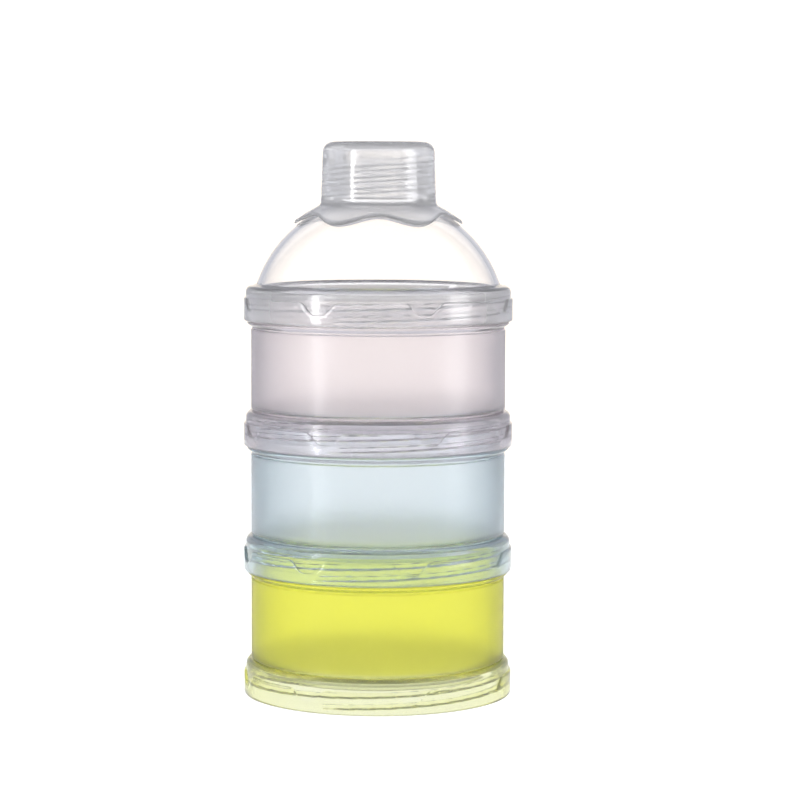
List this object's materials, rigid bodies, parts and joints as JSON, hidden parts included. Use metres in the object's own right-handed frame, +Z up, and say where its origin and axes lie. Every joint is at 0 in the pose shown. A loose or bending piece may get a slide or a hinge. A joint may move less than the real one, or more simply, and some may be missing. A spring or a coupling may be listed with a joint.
{
  "type": "formula dispenser",
  "caption": "Stacking baby formula dispenser: round powder cups that screw onto each other, with a dome lid, a pouring spout and a small screw cap.",
  "frame": {"origin": "centre of the bottom cup's foot, on the surface that it stands on", "axes": "+Z up along the stack's axis; -Y is the front, as the picture sees it; +X is to the viewer's right"},
  "size_m": [0.0846, 0.0846, 0.1737],
  "materials": {
    "yellow_green_plastic": "glossy, translucent",
    "pale_blue_plastic": "glossy, translucent",
    "pale_pink_plastic": "glossy, translucent",
    "clear_plastic": "glossy, clear",
    "milky_plastic": "satin, milky",
    "silicone": "matte, translucent"
  },
  "bodies": {
    "base": {"bottom_cup": "yellow_green_plastic", "bottom_seal_ring": "silicone"},
    "middle_seal": {"middle_seal_ring": "silicone"},
    "middle": {"middle_cup": "pale_blue_plastic"},
    "top_seal": {"top_seal_ring": "silicone"},
    "top": {"top_cup": "pale_pink_plastic"},
    "lid_seal": {"dome_seal_ring": "silicone"},
    "lid": {"dome_lid": "clear_plastic"},
    "cap_seal": {"cap_seal_disc": "silicone"},
    "cap": {"pouring_cap": "milky_plastic"}
  },
  "joints": [
    {"name": "middle_rise", "type": "slide", "parent": "base", "child": "middle_seal", "axis": [0, 0, 1], "range_m": [0, 0.0085]},
    {"name": "middle_unscrew", "type": "hinge", "parent": "middle_seal", "child": "middle", "pos_m": [0, 0, 0.0393], "axis": [0, 0, 1], "range_deg": [0, 451]},
    {"name": "top_rise", "type": "slide", "parent": "middle", "child": "top_seal", "axis": [0, 0, 1], "range_m": [0, 0.0085]},
    {"name": "top_unscrew", "type": "hinge", "parent": "top_seal", "child": "top", "pos_m": [0, 0, 0.0786], "axis": [0, 0, 1], "range_deg": [0, 451]},
    {"name": "lid_rise", "type": "slide", "parent": "top", "child": "lid_seal", "axis": [0, 0, 1], "range_m": [0, 0.0085]},
    {"name": "lid_unscrew", "type": "hinge", "parent": "lid_seal", "child": "lid", "pos_m": [0, 0, 0.1179], "axis": [0, 0, 1], "range_deg": [0, 451]},
    {"name": "cap_rise", "type": "slide", "parent": "lid", "child": "cap_seal", "axis": [0, 0, 1], "range_m": [0, 0.017]},
    {"name": "cap_unscrew", "type": "hinge", "parent": "cap_seal", "child": "cap", "pos_m": [0, 0, 0.1709], "axis": [0, 0, 1], "range_deg": [0, 901]}
  ],
  "couplings": [
    {"joint": "middle_unscrew", "follows": "middle_rise", "rad_per_m": 924},
    {"joint": "top_unscrew", "follows": "top_rise", "rad_per_m": 924},
    {"joint": "lid_unscrew", "follows": "lid_rise", "rad_per_m": 924},
    {"joint": "cap_unscrew", "follows": "cap_rise", "rad_per_m": 924}
  ]
}
